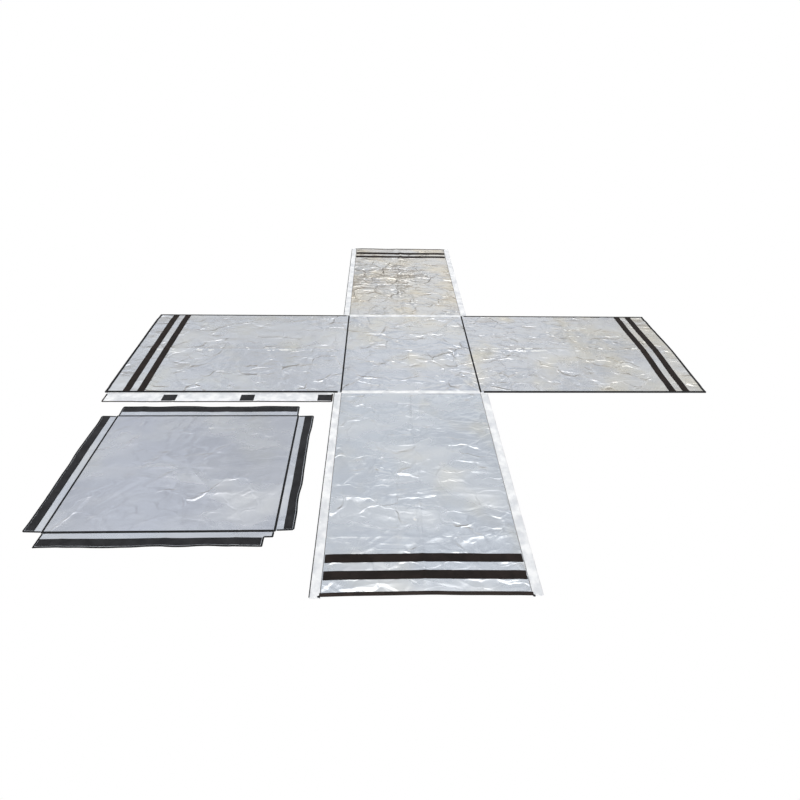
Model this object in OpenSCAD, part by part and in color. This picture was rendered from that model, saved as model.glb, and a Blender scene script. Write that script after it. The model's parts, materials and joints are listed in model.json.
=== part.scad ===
// Insulated pallet cover: a foil-faced base with four fold-up walls, and a loose
// lid with drop-down skirts. It lies open and flat on the floor, inside facing up,
// and the lid lies beside it, outside facing up. Lengths are in millimetres. The
// origin is on the floor under the middle of the base, +X right and +Y back.

/* [Base and walls] */
// Width of the base, left to right
base_w = 1000; // [800:10:1200]
// Length of the base, front to back
base_l = 1200; // [800:10:1400]
// Height of the walls once they are folded up
wall_h = 1650; // [1200:10:1800]

/* [Panel layers] */
// Thickness of the foam inside every panel
foam_t = 5; // [3:0.5:8]
// Thickness of the foil-faced film on each side of the foam
film_t = 0.3; // [0.1:0.1:0.5]
// Thickness of the single sheets in the flaps and skirts
sheet_t = 1; // [0.6:0.1:1.2]

/* [Edges and seams] */
// Thickness of the binding tape folded round each edge
lip_t = 1; // [0.6:0.1:1]
// How far the binding on a wall covers each face
wall_lip_w = 10; // [6:1:14]
// How far the binding on the lid, skirts and flaps covers each face
lid_lip_w = 8; // [5:1:12]
// Radius of the cord in the seam between the base and a wall
cord_r = 1.8; // [1.2:0.1:2]
// Width of the white seam tape sewn down along the base's front and back edges
end_seam_w = 26; // [10:1:40]
// Width of the black seam tape sewn down along the base's left and right edges
side_seam_w = 8; // [6:1:14]

/* [Hook and loop tape] */
// Width of the tape
tape_w = 50; // [38:1:60]
// Thickness of the tape
tape_t = 1.5; // [1:0.1:1.8]
// Distance between the middles of the two rows of tape on a wall
tape_pitch = 100; // [80:5:140]
// From the top of the front wall to the middle of its upper row
front_tape_drop = 110; // [90:1:180]
// From the top of each other wall to the middle of its upper row
side_tape_drop = 143; // [90:1:180]

/* [Corner flaps] */
// Width of the flaps on the sides of the front and back walls
flap_w = 50; // [30:1:54]
// Width of the closing flap on the front edge of the left wall
closing_w = 101; // [80:1:140]
// Height of the closing flap's lower end above the floor, walls up
closing_from = 52; // [50:1:120]
// Height of the closing flap's upper end above the floor, walls up
closing_to = 1620; // [1180:10:1640]
// Height of each patch on the closing flap
patch_l = 95; // [60:1:120]
// Width of each patch on the closing flap
patch_w = 70; // [40:1:80]
// Number of patches up the closing flap
patch_count = 3; // [2:1:3]
// Distance from one patch to the next
patch_pitch = 534; // [400:1:534]

/* [Lid] */
// Clearance all round between the lid and the walls it drops between
lid_clear = 6; // [5:1:10]
// Width of each skirt, from its fold to its outer edge
skirt_w = 95; // [80:1:120]
// Distance from a skirt's fold to its tape
skirt_tape_from = 39; // [30:1:42]
// Width of the hook tape on a skirt
hook_w = 46; // [38:1:46]
// Length left without tape at the right-hand end of the front skirt
front_skirt_notch = 45; // [20:1:80]
// Gap between the front wall's flap and the lid's skirt, on the floor
lid_gap_x = 118; // [20:1:200]
// Gap between the closing flap and the lid's skirt, on the floor
lid_gap_y = 59; // [20:1:200]

/* [Hidden] */
$fn = 32;

// Turns that carry a shape drawn at the front, outward along -Y, to each side
AT_FRONT = 0;
AT_RIGHT = 90;
AT_BACK = 180;
AT_LEFT = 270;

// Heights of the layers. The base lies on the floor, and every other panel is
// raised by the binding round its edges.
panel_t = foam_t + 2 * film_t;
panel_z = lip_t;
tape_z = panel_z + panel_t;
bound_t = panel_t + 2 * lip_t;
sheet_mid = panel_z + panel_t / 2;
sheet_z = sheet_mid - sheet_t / 2;

// Each wall turns about the cord on its fold line, level with the top of the base
fold_gap = 2.5;
front_fold = base_l / 2;
side_fold = base_w / 2;

// Half widths: the front and back walls stand between the side walls, and the
// closing flap needs a margin to fold round the corner of the front wall
end_wall_inset = 6;
side_wall_inset = 4;
closing_margin = 13;
end_half_w = side_fold - end_wall_inset;
side_half_w = front_fold - side_wall_inset;
flap_fold = end_half_w + 2;
closing_fold = side_half_w + closing_margin;
sheet_gap = 0.5;
flap_r = 6;

// The lid lies turned a quarter, so its long sides are the front and back ones
lid_half_x = front_fold - lid_clear - lip_t;
lid_half_y = side_fold - lid_clear - lip_t;
skirt_fold_gap = 1.5;
lid_x = -(flap_fold + flap_w + lid_gap_x + skirt_w + skirt_fold_gap + lid_half_x);
lid_y = -(closing_fold + closing_w + lid_gap_y + skirt_w + skirt_fold_gap + lid_half_y);
skirt_end_gap = 5;
skirt_r = 12;
// A skirt's binding starts clear of the lid's seam, so that it can hang down
skirt_bound_from = 5;

FOIL = [0.78, 0.81, 0.85];
WARM_FOIL = [0.80, 0.79, 0.75];
LID_FOIL = [0.70, 0.73, 0.78];
FOAM = [0.93, 0.93, 0.92];
LIGHT_WEAVE = [0.88, 0.88, 0.88];
LOOP_TAPE = [0.13, 0.10, 0.09];
HOOK_TAPE = [0.17, 0.17, 0.18];
BINDING = [0.06, 0.06, 0.07];

// A box across the front: its width runs from x0 to x1 and it reaches from d0 to
// d1 outward, towards -Y
module slab(x0, x1, d0, d1, z, t) {
    translate([x0, -d1, z]) cube([x1 - x0, d1 - d0, t]);
}

// The outline of a sheet that hangs outward from a fold, with round outer corners
module tab_outline(x0, x1, d0, d1, r) {
    translate([x0, r - d1]) square([x1 - x0, d1 - d0 - r]);
    translate([x0 + r, -d1]) square([x1 - x0 - 2 * r, r]);
    for (x = [x0 + r, x1 - r]) translate([x, r - d1]) circle(r);
}

module tab(x0, x1, d0, d1, r) {
    translate([0, 0, sheet_z])
        linear_extrude(sheet_t) tab_outline(x0, x1, d0, d1, r);
}

// Binding folded over the two ends and the outer edge of a tab
module tab_binding(x0, x1, d0, d1, r, w) {
    inner_r = max(r - w, 1);
    translate([0, 0, sheet_z - lip_t]) difference() {
        linear_extrude(sheet_t + 2 * lip_t) difference() {
            tab_outline(x0 - lip_t, x1 + lip_t, d0, d1 + lip_t, r + lip_t);
            tab_outline(x0 + w, x1 - w, d0 - lip_t, d1 - w, inner_r);
        }
        translate([0, 0, lip_t])
            linear_extrude(sheet_t) tab_outline(x0, x1, d0 - lip_t, d1, r);
    }
}

// Binding folded over the outer edge of a flap only
module edge_binding(x0, x1, d1, w) {
    difference() {
        slab(x0, x1, d1 - w, d1 + lip_t, sheet_z - lip_t, sheet_t + 2 * lip_t);
        slab(x0 - lip_t, x1 + lip_t, d1 - 2 * w, d1, sheet_z, sheet_t);
    }
}

// One layer of a wall, drawn at the front and turned to its side
module wall_layer(turn, z, t) {
    fold = fold_of(turn);
    half_w = half_w_of(turn);
    rotate([0, 0, turn]) slab(-half_w, half_w, fold + fold_gap, fold + wall_h, z, t);
}

function is_end(turn) = turn == AT_FRONT || turn == AT_BACK;
function fold_of(turn) = is_end(turn) ? front_fold : side_fold;
function half_w_of(turn) = is_end(turn) ? end_half_w : side_half_w;

module inner_film(turn, colour) {
    color(colour) wall_layer(turn, panel_z + film_t + foam_t, film_t);
}

module foam_core(turn) {
    color(FOAM) wall_layer(turn, panel_z + film_t, foam_t);
}

module outer_film(turn) {
    color(FOIL) wall_layer(turn, panel_z, film_t);
}

// A row of loop tape across a wall, row 0 the upper one
module loop_tape(turn, row) {
    drop = turn == AT_FRONT ? front_tape_drop : side_tape_drop;
    middle = fold_of(turn) + wall_h - drop - row * tape_pitch;
    end_gap = is_end(turn) ? 4 : wall_lip_w + 2;
    half_l = half_w_of(turn) - end_gap;
    color(LOOP_TAPE) rotate([0, 0, turn])
        slab(-half_l, half_l, middle - tape_w / 2, middle + tape_w / 2, tape_z, tape_t);
}

// Binding on the top edge of an end wall, whose sides carry flaps
module end_wall_binding(turn) {
    top = front_fold + wall_h;
    color(BINDING) rotate([0, 0, turn]) difference() {
        slab(-end_half_w, end_half_w, top - wall_lip_w, top + lip_t, 0, bound_t);
        slab(-base_w, base_w, 0, top, panel_z, panel_t);
    }
}

// Binding on the top edge and both side edges of a side wall
module side_wall_binding(turn) {
    top = side_fold + wall_h;
    start = side_fold + 2 * wall_lip_w;
    inner_w = side_half_w - wall_lip_w;
    color(BINDING) rotate([0, 0, turn]) difference() {
        slab(-side_half_w - lip_t, side_half_w + lip_t, start, top + lip_t, 0, bound_t);
        slab(-side_half_w, side_half_w, 0, top, panel_z, panel_t);
        slab(-inner_w, inner_w, 0, top - wall_lip_w, -lip_t, bound_t + 2 * lip_t);
    }
}

module base_layer(z, t) {
    half_w = side_fold - fold_gap;
    half_l = front_fold - fold_gap;
    slab(-half_w, half_w, -half_l, half_l, z, t);
}

module base_outer_film() { color(FOIL) base_layer(0, film_t); }
module base_foam_core() { color(FOAM) base_layer(film_t, foam_t); }

// The film the load stands on. Its border is pressed down under the seam tapes.
press_t = 0.1;

module base_inner_film() {
    half_w = side_fold - side_seam_w - lip_t;
    half_l = front_fold - end_seam_w - lip_t;
    color(FOIL) {
        base_layer(film_t + foam_t, film_t - press_t);
        slab(-half_w, half_w, -half_l, half_l, film_t + foam_t, film_t);
    }
}

// The cord on a fold line and the flat tape that sews it down on the base. The
// tape stops short of the tapes on the two sides next to it.
module base_seam(turn, colour) {
    corner_gap = 10;
    half_l = (is_end(turn) ? side_fold : front_fold) - corner_gap;
    seam_w = is_end(turn) ? end_seam_w : side_seam_w;
    tail_half_l = half_l - (is_end(turn) ? side_seam_w : end_seam_w);
    tail_t = 0.6;
    fold = fold_of(turn);
    color(colour) rotate([0, 0, turn]) {
        translate([-half_l, -fold, panel_t]) rotate([0, 90, 0]) cylinder(2 * half_l, r = cord_r);
        slab(-tail_half_l, tail_half_l, fold - seam_w, fold, panel_t - press_t, tail_t);
    }
}

module base_seam_front() { base_seam(AT_FRONT, LIGHT_WEAVE); }
module base_seam_back() { base_seam(AT_BACK, LIGHT_WEAVE); }
module base_seam_left() { base_seam(AT_LEFT, BINDING); }
module base_seam_right() { base_seam(AT_RIGHT, BINDING); }

module front_wall_inner_film() { inner_film(AT_FRONT, FOIL); }
module front_wall_foam_core() { foam_core(AT_FRONT); }
module front_wall_outer_film() { outer_film(AT_FRONT); }
module front_wall_loop_tape_upper() { loop_tape(AT_FRONT, 0); }
module front_wall_loop_tape_lower() { loop_tape(AT_FRONT, 1); }
module front_wall_binding() { end_wall_binding(AT_FRONT); }

module back_wall_inner_film() { inner_film(AT_BACK, WARM_FOIL); }
module back_wall_foam_core() { foam_core(AT_BACK); }
module back_wall_outer_film() { outer_film(AT_BACK); }
module back_wall_loop_tape_upper() { loop_tape(AT_BACK, 0); }
module back_wall_loop_tape_lower() { loop_tape(AT_BACK, 1); }
module back_wall_binding() { end_wall_binding(AT_BACK); }

module left_wall_inner_film() { inner_film(AT_LEFT, FOIL); }
module left_wall_foam_core() { foam_core(AT_LEFT); }
module left_wall_outer_film() { outer_film(AT_LEFT); }
module left_wall_loop_tape_upper() { loop_tape(AT_LEFT, 0); }
module left_wall_loop_tape_lower() { loop_tape(AT_LEFT, 1); }
module left_wall_binding() { side_wall_binding(AT_LEFT); }

module right_wall_inner_film() { inner_film(AT_RIGHT, FOIL); }
module right_wall_foam_core() { foam_core(AT_RIGHT); }
module right_wall_outer_film() { outer_film(AT_RIGHT); }
module right_wall_loop_tape_upper() { loop_tape(AT_RIGHT, 0); }
module right_wall_loop_tape_lower() { loop_tape(AT_RIGHT, 1); }
module right_wall_binding() { side_wall_binding(AT_RIGHT); }

// A flap on the side of an end wall. The wall lies from low to high, measured
// across the turned drawing.
flap_low = front_fold + fold_gap;
flap_high = front_fold + wall_h;

module corner_flap(turn, low, high) {
    color(LIGHT_WEAVE) rotate([0, 0, turn])
        tab(low, high, flap_fold + sheet_gap, flap_fold + flap_w, flap_r);
}

module corner_flap_binding(turn, low, high) {
    flap_lip_w = 5;
    color(BINDING) rotate([0, 0, turn])
        edge_binding(low + flap_r, high - flap_r, flap_fold + flap_w, flap_lip_w);
}

module front_left_flap() { corner_flap(AT_LEFT, flap_low, flap_high); }
module front_left_flap_binding() { corner_flap_binding(AT_LEFT, flap_low, flap_high); }
module front_right_flap() { corner_flap(AT_RIGHT, -flap_high, -flap_low); }
module back_left_flap() { corner_flap(AT_LEFT, -flap_high, -flap_low); }
module back_left_flap_binding() { corner_flap_binding(AT_LEFT, -flap_high, -flap_low); }
module back_right_flap() { corner_flap(AT_RIGHT, flap_low, flap_high); }

// The closing flap hangs off the front edge of the left wall and folds round the
// corner, outside the front wall
closing_low = -(side_fold + closing_to);
closing_high = -(side_fold + closing_from);
patch_t = 1.2;

module left_closing_flap() {
    color(LIGHT_WEAVE)
        tab(closing_low, closing_high, closing_fold + sheet_gap, closing_fold + closing_w, skirt_r);
}

module left_closing_flap_binding() {
    color(BINDING) tab_binding(closing_low, closing_high, closing_fold + sheet_gap,
        closing_fold + closing_w, skirt_r, lid_lip_w);
}

// The sewn margin that carries the flap, beside the wall's own edge
module left_closing_flap_root() {
    color(LIGHT_WEAVE) slab(closing_low, closing_high, side_half_w + lip_t,
        closing_fold - sheet_gap, sheet_z, sheet_t);
}

module left_closing_flap_patches() {
    middle = closing_fold + closing_w / 2;
    color(LOOP_TAPE) for (i = [0 : patch_count - 1])
        translate([closing_high - lid_lip_w - i * patch_pitch, 0, 0])
            slab(-patch_l, 0, middle - patch_w / 2, middle + patch_w / 2, sheet_z + sheet_t, patch_t);
}

// The patches they meet, on the outer face of the front wall
module front_wall_closure_patches() {
    middle = closing_w / 2 - side_fold - (panel_t - sheet_mid);
    low = front_fold + closing_from + lid_lip_w;
    color(LOOP_TAPE) for (i = [0 : patch_count - 1])
        slab(middle - patch_w / 2, middle + patch_w / 2,
            low + i * patch_pitch, low + i * patch_pitch + patch_l, 0, lip_t);
}

module lid_layer(z, t) {
    translate([lid_x, lid_y, z]) slab(-lid_half_x, lid_half_x, -lid_half_y, lid_half_y, 0, t);
}

module lid_inner_film() { color(LID_FOIL) lid_layer(panel_z, film_t); }
module lid_foam_core() { color(FOAM) lid_layer(panel_z + film_t, foam_t); }
module lid_outer_film() { color(LID_FOIL) lid_layer(panel_z + film_t + foam_t, film_t); }

// Binding round all four edges of the lid, where the skirts are sewn on
module lid_seam_binding() {
    color(BINDING) translate([lid_x, lid_y, 0]) difference() {
        slab(-lid_half_x - lip_t, lid_half_x + lip_t, -lid_half_y - lip_t, lid_half_y + lip_t,
            0, bound_t);
        slab(-lid_half_x, lid_half_x, -lid_half_y, lid_half_y, panel_z, panel_t);
        slab(lid_lip_w - lid_half_x, lid_half_x - lid_lip_w, lid_lip_w - lid_half_y,
            lid_half_y - lid_lip_w, -lip_t, bound_t + 2 * lip_t);
    }
}

// Skirts are drawn at the lid's front and turned to their side
function lid_across(turn) = is_end(turn) ? lid_half_x : lid_half_y;
function skirt_fold(turn) = (is_end(turn) ? lid_half_y : lid_half_x) + skirt_fold_gap;
function skirt_half_l(turn) = lid_across(turn) - skirt_end_gap;

module on_lid(turn) {
    translate([lid_x, lid_y, 0]) rotate([0, 0, turn]) children();
}

module skirt(turn) {
    fold = skirt_fold(turn);
    half_l = skirt_half_l(turn);
    color(LID_FOIL) on_lid(turn) tab(-half_l, half_l, fold + sheet_gap, fold + skirt_w, skirt_r);
}

module skirt_binding(turn) {
    fold = skirt_fold(turn);
    half_l = skirt_half_l(turn);
    color(BINDING) on_lid(turn)
        tab_binding(-half_l, half_l, fold + skirt_bound_from, fold + skirt_w, skirt_r, lid_lip_w);
}

module hook_tape(turn) {
    start = skirt_fold(turn) + skirt_tape_from;
    half_l = skirt_half_l(turn) - lid_lip_w - 2;
    color(HOOK_TAPE) on_lid(turn)
        slab(-half_l, half_l, start, start + hook_w, sheet_z + sheet_t, tape_t);
}

// The front skirt is cut back beyond its silver band at its right-hand end
band_w = skirt_tape_from - 2;

module lid_front_skirt() {
    fold = skirt_fold(AT_FRONT);
    half_l = skirt_half_l(AT_FRONT);
    color(LID_FOIL) on_lid(AT_FRONT) {
        tab(-half_l, half_l - front_skirt_notch, fold + sheet_gap, fold + skirt_w, skirt_r);
        tab(0, half_l, fold + sheet_gap, fold + band_w, flap_r);
    }
}

module lid_front_skirt_binding() {
    fold = skirt_fold(AT_FRONT);
    half_l = skirt_half_l(AT_FRONT);
    notch_x = half_l - front_skirt_notch;
    color(BINDING) on_lid(AT_FRONT) {
        difference() {
            tab_binding(-half_l, notch_x, fold + skirt_bound_from, fold + skirt_w, skirt_r, lid_lip_w);
            slab(0, half_l, fold, fold + band_w + lip_t, 0, bound_t);
        }
        difference() {
            tab_binding(0, half_l, fold + skirt_bound_from, fold + band_w, flap_r, lid_lip_w);
            slab(-lid_lip_w, notch_x + lip_t, fold, fold + skirt_w, 0, bound_t);
        }
    }
}

module lid_front_hook_tape() {
    start = skirt_fold(AT_FRONT) + skirt_tape_from;
    half_l = skirt_half_l(AT_FRONT) - lid_lip_w - 2;
    color(HOOK_TAPE) on_lid(AT_FRONT)
        slab(-half_l, half_l - front_skirt_notch, start, start + hook_w, sheet_z + sheet_t, tape_t);
}

module lid_back_skirt() { skirt(AT_BACK); }
module lid_back_hook_tape() { hook_tape(AT_BACK); }
module lid_back_skirt_binding() { skirt_binding(AT_BACK); }
module lid_left_skirt() { skirt(AT_LEFT); }
module lid_left_hook_tape() { hook_tape(AT_LEFT); }
module lid_left_skirt_binding() { skirt_binding(AT_LEFT); }
module lid_right_skirt() { skirt(AT_RIGHT); }
module lid_right_hook_tape() { hook_tape(AT_RIGHT); }
module lid_right_skirt_binding() { skirt_binding(AT_RIGHT); }

base_inner_film();
base_foam_core();
base_outer_film();
base_seam_front();
base_seam_back();
base_seam_left();
base_seam_right();
front_wall_inner_film();
front_wall_foam_core();
front_wall_outer_film();
front_wall_loop_tape_upper();
front_wall_loop_tape_lower();
front_wall_binding();
front_wall_closure_patches();
back_wall_inner_film();
back_wall_foam_core();
back_wall_outer_film();
back_wall_loop_tape_upper();
back_wall_loop_tape_lower();
back_wall_binding();
left_wall_inner_film();
left_wall_foam_core();
left_wall_outer_film();
left_wall_loop_tape_upper();
left_wall_loop_tape_lower();
left_wall_binding();
right_wall_inner_film();
right_wall_foam_core();
right_wall_outer_film();
right_wall_loop_tape_upper();
right_wall_loop_tape_lower();
right_wall_binding();
front_left_flap();
front_left_flap_binding();
front_right_flap();
back_left_flap();
back_left_flap_binding();
back_right_flap();
left_closing_flap();
left_closing_flap_binding();
left_closing_flap_patches();
left_closing_flap_root();
lid_outer_film();
lid_foam_core();
lid_inner_film();
lid_seam_binding();
lid_front_skirt();
lid_front_hook_tape();
lid_front_skirt_binding();
lid_back_skirt();
lid_back_hook_tape();
lid_back_skirt_binding();
lid_left_skirt();
lid_left_hook_tape();
lid_left_skirt_binding();
lid_right_skirt();
lid_right_hook_tape();
lid_right_skirt_binding();
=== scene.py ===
"""Looks for an insulated pallet cover that lies open on the floor, with its lid beside it.

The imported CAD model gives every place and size. Each CAD node is replaced by a soft
piece of the same size: films with their wrinkles, woven flaps, tapes, folded bindings
and seams. Lengths are in metres, in the CAD frame: +X right, +Y back, +Z up.
"""

import json
import math

import bmesh
import bpy
import numpy as np
from mathutils import Matrix, Vector


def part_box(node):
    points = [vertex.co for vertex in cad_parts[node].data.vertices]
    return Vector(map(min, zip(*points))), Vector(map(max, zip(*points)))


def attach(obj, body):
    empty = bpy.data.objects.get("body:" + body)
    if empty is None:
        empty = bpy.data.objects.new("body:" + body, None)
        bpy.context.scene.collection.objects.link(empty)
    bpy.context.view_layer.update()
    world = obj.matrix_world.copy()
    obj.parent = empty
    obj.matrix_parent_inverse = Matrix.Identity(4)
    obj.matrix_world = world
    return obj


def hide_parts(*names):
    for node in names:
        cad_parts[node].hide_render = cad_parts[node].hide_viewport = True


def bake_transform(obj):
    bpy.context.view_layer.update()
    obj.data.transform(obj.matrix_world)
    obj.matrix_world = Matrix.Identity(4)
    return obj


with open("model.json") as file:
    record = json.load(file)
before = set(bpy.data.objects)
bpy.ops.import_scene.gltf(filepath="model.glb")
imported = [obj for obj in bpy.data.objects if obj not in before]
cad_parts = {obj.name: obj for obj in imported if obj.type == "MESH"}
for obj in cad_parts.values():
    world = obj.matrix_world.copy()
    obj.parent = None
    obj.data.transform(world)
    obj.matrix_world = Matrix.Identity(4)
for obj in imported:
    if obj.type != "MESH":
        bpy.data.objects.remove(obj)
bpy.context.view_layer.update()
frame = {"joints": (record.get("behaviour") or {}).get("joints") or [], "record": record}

MM = 0.001
SLOTS = {row["node"]: row["material_slot"] for row in frame["record"]["subparts"]}
JOINTS = {joint["name"]: joint for joint in frame["joints"]}

# ------------ the cover's plan

END_FOLD = abs(JOINTS["front_wall_fold"]["pos_m"][1])
SIDE_FOLD = abs(JOINTS["left_wall_fold"]["pos_m"][0])
FLAP_FOLD = abs(JOINTS["front_left_flap_fold"]["pos_m"][0])
CLOSING_FOLD = abs(JOINTS["left_closing_flap_fold"]["pos_m"][1])
WALL_H = -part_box("front_wall_inner_film")[0].y - END_FOLD
FRONT_SKIRT = JOINTS["lid_front_skirt_droop"]["pos_m"]
LEFT_SKIRT = JOINTS["lid_left_skirt_droop"]["pos_m"]
LID_CENTRE = (FRONT_SKIRT[0], LEFT_SKIRT[1])
LID_FOLD = (LID_CENTRE[0] - LEFT_SKIRT[0], LID_CENTRE[1] - FRONT_SKIRT[1])
ORIGIN = (0.0, 0.0)

# Each side's two directions on the floor: across it, and outward from the middle
ACROSS = {"front": (1, 0), "right": (0, 1), "back": (-1, 0), "left": (0, -1)}
OUT = {"front": (0, -1), "right": (1, 0), "back": (0, 1), "left": (-1, 0)}
SIDES = ("front", "back", "left", "right")
ENDS = ("front", "back")
WALL_FOLD = {side: END_FOLD if side in ENDS else SIDE_FOLD for side in SIDES}
SKIRT_FOLD = {side: LID_FOLD[1] if side in ENDS else LID_FOLD[0] for side in SIDES}


def on_floor(side, s, d, centre=ORIGIN):
    """Floor point that lies s across and d outward, seen from one side."""
    (ax, ay), (ox, oy) = ACROSS[side], OUT[side]
    return centre[0] + s * ax + d * ox, centre[1] + s * ay + d * oy


class Patch:
    """A rectangle seen from one side of the base or lid: s runs across, d outward."""

    def __init__(self, side, s0, s1, d0, d1, centre=ORIGIN):
        self.side, self.centre = side, centre
        self.s0, self.s1, self.d0, self.d1 = s0, s1, d0, d1

    def world(self, s, d):
        return on_floor(self.side, s, d, self.centre)

    def local(self, x, y):
        (ax, ay), (ox, oy) = ACROSS[self.side], OUT[self.side]
        u, v = x - self.centre[0], y - self.centre[1]
        return u * ax + v * ay, u * ox + v * oy

    def cut(self, **edges):
        """The same patch with some of its edges elsewhere."""
        return Patch(**{**vars(self), **edges})

    def inset(self, by):
        return self.cut(s0=self.s0 + by, s1=self.s1 - by, d0=self.d0 + by, d1=self.d1 - by)


def patch_of(node, side, centre=ORIGIN):
    """The patch that a CAD node covers, seen from one side."""
    low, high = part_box(node)
    frame_patch = Patch(side, 0, 0, 0, 0, centre)
    s_a, d_a = frame_patch.local(low.x, low.y)
    s_b, d_b = frame_patch.local(high.x, high.y)
    return Patch(side, min(s_a, s_b), max(s_a, s_b), min(d_a, d_b), max(d_a, d_b), centre)


def heights(node):
    """Lowest and highest z of a CAD node."""
    low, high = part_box(node)
    return low.z, high.z


# ------------ noise and creases


def step(t, low, high):
    """0 below low, 1 above high, smooth between."""
    t = np.clip((t - low) / (high - low), 0, 1)
    return t * t * (3 - 2 * t)


def lattice(ix, iy, seed):
    """One fixed random number from -1 to 1 for each corner of a square lattice."""
    value = np.sin(ix * 127.1 + iy * 311.7 + seed * 74.7) * 43758.5453
    return (value - np.floor(value)) * 2 - 1


def noise(x, y, size, seed):
    """Smooth noise from -1 to 1 whose blobs are about size across."""
    u, v = x / size, y / size
    ix, iy = np.floor(u), np.floor(v)
    fu, fv = u - ix, v - iy
    fu = fu * fu * fu * (fu * (fu * 6 - 15) + 10)
    fv = fv * fv * fv * (fv * (fv * 6 - 15) + 10)
    low = lattice(ix, iy, seed) * (1 - fu) + lattice(ix + 1, iy, seed) * fu
    high = lattice(ix, iy + 1, seed) * (1 - fu) + lattice(ix + 1, iy + 1, seed) * fu
    return low * (1 - fv) + high * fv


def crease(x, y, a, b, height, width):
    """A ridge from a to b with a tight top that fades out at its ends."""
    ax, ay = a
    dx, dy = b[0] - ax, b[1] - ay
    length = math.hypot(dx, dy)
    along = ((x - ax) * dx + (y - ay) * dy) / length
    off = ((x - ax) * dy - (y - ay) * dx) / length
    off = off + 0.25 * width * noise(x, y, 0.07, 5)
    beyond = np.maximum(np.maximum(-along, along - length), 0)
    top = 3 * MM
    reach = np.sqrt(off * off + beyond * beyond + top * top) - top
    fade = 0.25 * length
    ends = step(along, -0.4 * fade, fade) * step(length - along, -0.4 * fade, fade)
    return height * np.exp(-reach / width) * (0.15 + 0.85 * ends)


def random_creases(x, y, box, count, heading, spread, height, seed):
    """Short creases scattered in a box (x0, x1, y0, y1), most of them near one heading."""
    rng = np.random.default_rng(seed)
    total = np.zeros_like(x)
    for _ in range(count):
        cx, cy = rng.uniform(box[0], box[1]), rng.uniform(box[2], box[3])
        angle = math.radians(heading + rng.normal(0, spread))
        half = rng.uniform(0.03, 0.19)
        rise = height * rng.uniform(0.4, 1.4) * rng.choice((1, 1, -0.6))
        width = rng.uniform(6, 16) * MM
        dx, dy = half * math.cos(angle), half * math.sin(angle)
        total += crease(x, y, (cx - dx, cy - dy), (cx + dx, cy + dy), rise, width)
    return total


def crumple(x, y, size, seed):
    """Flat facets between folds, from about -1 to 1, as thin film takes when handled."""
    rng = np.random.default_rng(seed)
    total = np.zeros_like(x)
    for k in range(6):
        angle, pitch = rng.uniform(0, math.pi), size * rng.uniform(0.7, 1.7)
        p = (x * math.cos(angle) + y * math.sin(angle)) / pitch
        p = p + 0.9 * noise(x, y, 2.2 * size, seed + k)
        facet = np.abs(p - np.floor(p) - 0.5) * 2 - 0.5
        total += facet * step(noise(x, y, 3.1 * size, seed + 20 + k), -0.3, 0.7)
    return total / 2.2


# ------------ relief of the cloth

LIFT_TOP = 9.0 * MM  # the swells and folds level off towards this

# How each wall was folded while packed: creases across it, slanting creases, and how
# high a crease stands in mm
PACKED = {"front": (3, 3, 3.8), "back": (2, 3, 4.0), "left": (1, 2, 3.0), "right": (1, 5, 4.5)}
LEG = 0.3  # length of crease between two slight bends
CREASE_HALF = 32  # half width of a crease, in mm
SHARP_HALF = 13  # the same for the crease down a wall's middle


def bent_crease(rng, start, end, height, sway=0.025, half_width=CREASE_HALF):
    """Rows (from, to, height, half width) of one crease that wavers between two places."""
    start, end = np.array(start, float), np.array(end, float)
    run = end - start
    length = math.hypot(*run)
    sideways = np.array((-run[1], run[0])) / length
    legs = max(1, round(length / LEG))
    points = [start + run * k / legs for k in range(legs + 1)]
    for point in points[1:-1]:
        point += sideways * rng.uniform(-sway, sway)
    return [
        (tuple(a), tuple(b), height * rng.uniform(0.7, 1.3), half_width * rng.uniform(0.75, 1.3))
        for a, b in zip(points, points[1:])
    ]


def wall_creases(side, rng):
    """A wall's creases: one down its middle, some across its outer part, some slanting."""
    across, slants, height = PACKED[side]
    fold, half = (END_FOLD, SIDE_FOLD) if side in ENDS else (SIDE_FOLD, END_FOLD)
    near, far = on_floor(side, 0, fold + 0.03), on_floor(side, 0, fold + WALL_H - 0.03)
    rows = bent_crease(rng, near, far, 1.7 * height, 0.008, SHARP_HALF)
    for k in range(across):
        d = fold + WALL_H * (0.5 + 0.4 * k / across) + rng.uniform(-0.04, 0.04)
        rows += bent_crease(rng, on_floor(side, -0.95 * half, d), on_floor(side, 0.95 * half, d), height)
    for _ in range(slants):
        s, d = rng.uniform(-0.1, 0.1), fold + WALL_H * rng.uniform(0.35, 0.7)
        way = rng.choice((-1, 1))
        end = on_floor(side, way * half * rng.uniform(0.6, 0.95), d + rng.uniform(0.15, 0.45))
        rows += bent_crease(rng, on_floor(side, s, d), end, 0.9 * height)
    return rows


def base_creases(rng):
    """The base's creases: from each corner towards the middle, and one across."""
    rows = []
    for across in (-1, 1):
        for back in (-1, 1):
            corner = np.array((0.92 * across * SIDE_FOLD, 0.92 * back * END_FOLD))
            rows += bent_crease(rng, corner, corner * rng.uniform(0.1, 0.4), 7.0)
    rows += bent_crease(rng, (-0.5 * SIDE_FOLD, 0), (0.95 * SIDE_FOLD, 0), 7.0, 0.05)
    return rows


def lid_creases(rng, arms=8, strays=8):
    """The lid's creases: a star near its middle and short strays around it."""
    middle = np.array(LID_CENTRE)
    rows = []
    for k in range(arms):
        turn = 2 * math.pi * (k + rng.uniform(-0.3, 0.3)) / arms
        reach = rng.uniform(0.12, 0.35)
        end = middle + reach * np.array((math.cos(turn), math.sin(turn)))
        rows += bent_crease(rng, middle + 0.1 * (end - middle), end, 5.5)
    for _ in range(strays):
        start = middle + np.array(LID_FOLD) * rng.uniform(-0.85, 0.85, 2)
        rows += bent_crease(rng, start, start + rng.uniform(-0.16, 0.16, 2), 4.5)
    return rows


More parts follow.
